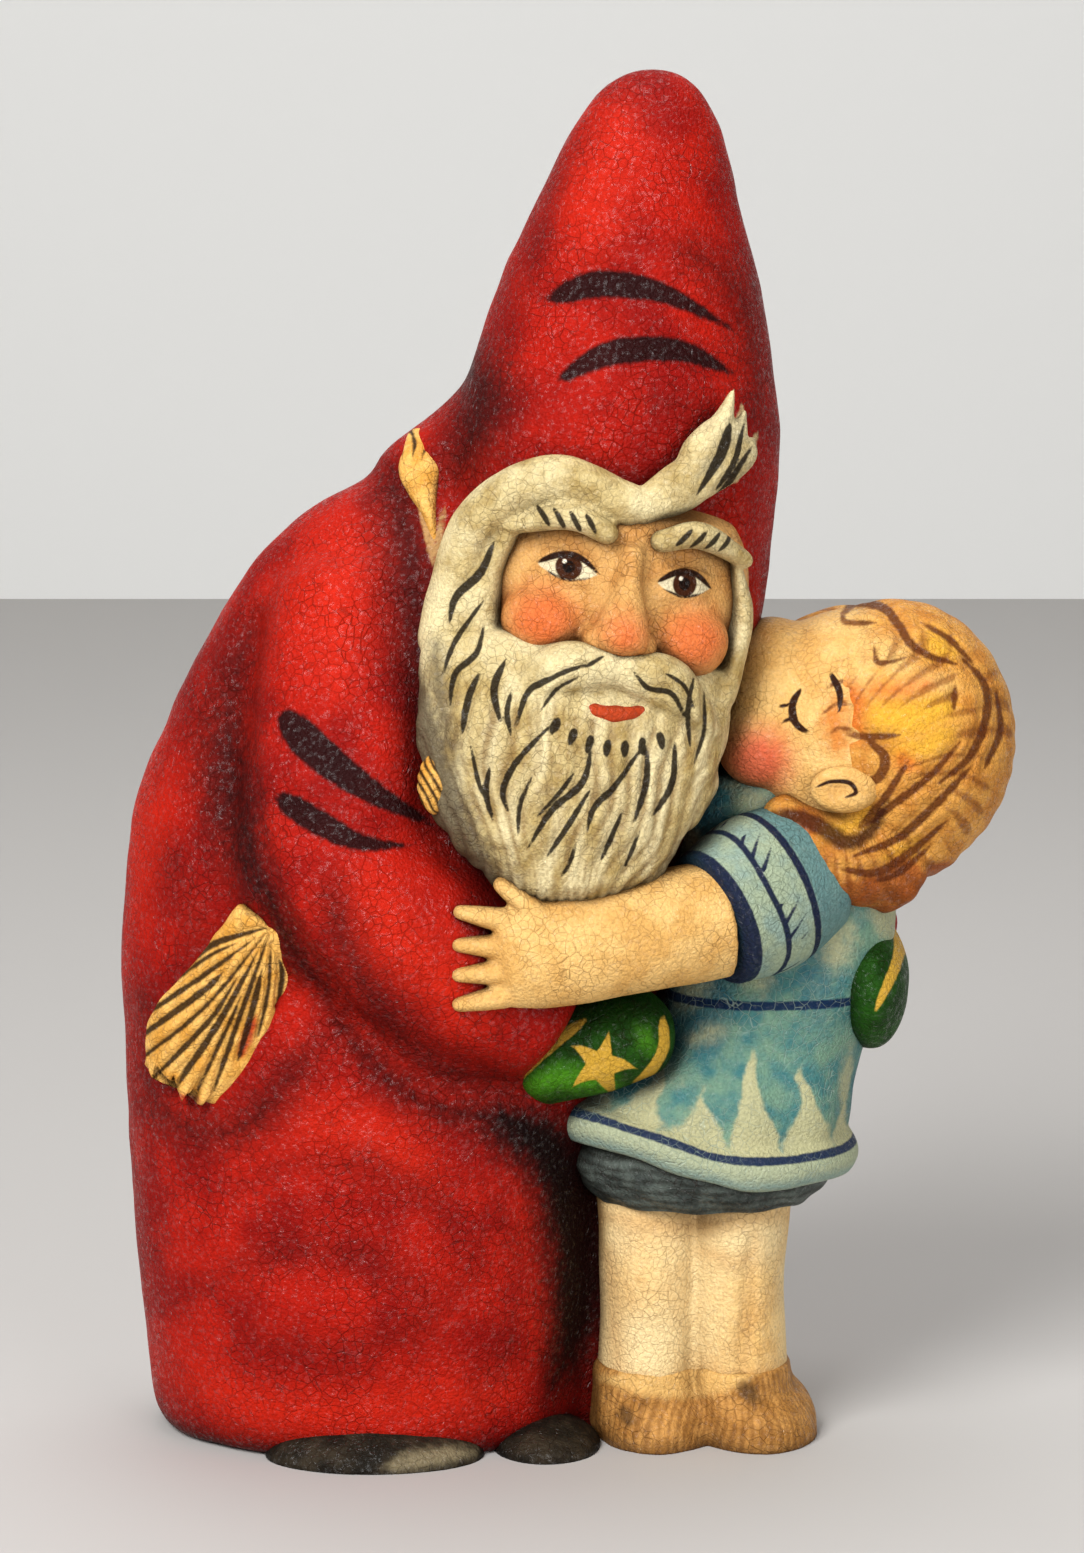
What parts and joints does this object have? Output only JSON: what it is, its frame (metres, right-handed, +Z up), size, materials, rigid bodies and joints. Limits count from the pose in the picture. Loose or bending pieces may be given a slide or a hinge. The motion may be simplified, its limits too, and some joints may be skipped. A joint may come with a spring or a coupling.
{
  "type": "santa figurine",
  "caption": "Small painted shelf figure of a hooded Father Christmas in a red robe hugging a child in a blue dress, in moulded pieces glued together.",
  "frame": {"origin": "on the surface that the figure stands on, at the flat underside of the robe", "axes": "+Z up, -Y the way the figure faces, +X towards the child"},
  "size_m": [0.0983, 0.0512, 0.1502],
  "materials": {
    "red_paint": "hand painted vermilion under a crackled satin varnish",
    "flesh_paint": "hand painted ochre flesh, satin varnish",
    "beard_paint": "cream paint with a brown glaze in the grooves",
    "straw_paint": "ochre paint with dark brush lines",
    "black_paint": "black paint worn grey",
    "bootie_paint": "ochre brown paint with brush lines",
    "petticoat_paint": "dark grey paint",
    "blue_paint": "teal blue paint with cream dabs, crackled varnish",
    "sage_paint": "sage paint with navy lines",
    "hair_paint": "golden brown paint with darker brush lines",
    "green_paint": "dark green paint with gold lines"
  },
  "bodies": {
    "root": {"robe": "red_paint", "hood": "red_paint", "right_sleeve": "red_paint", "left_sleeve": "red_paint", "face": "flesh_paint", "right_brow": "beard_paint", "left_brow": "beard_paint", "beard": "beard_paint", "right_moustache": "beard_paint", "left_moustache": "beard_paint", "hair_roll": "beard_paint", "hair_tuft": "beard_paint", "upper_collar_fur": "straw_paint", "lower_collar_fur": "straw_paint", "birch_switch": "straw_paint", "right_boot": "black_paint", "left_boot": "black_paint", "child_right_bootie": "bootie_paint", "child_left_bootie": "bootie_paint", "child_right_leg": "flesh_paint", "child_left_leg": "flesh_paint", "child_petticoat": "petticoat_paint", "child_skirt": "blue_paint", "child_hem": "sage_paint", "child_bodice": "blue_paint", "child_head": "flesh_paint", "child_hair": "hair_paint", "child_bun": "hair_paint", "child_ear": "flesh_paint", "child_sleeve": "sage_paint", "child_forearm": "flesh_paint", "right_mitten": "green_paint", "left_mitten": "green_paint"}
  },
  "joints": []
}
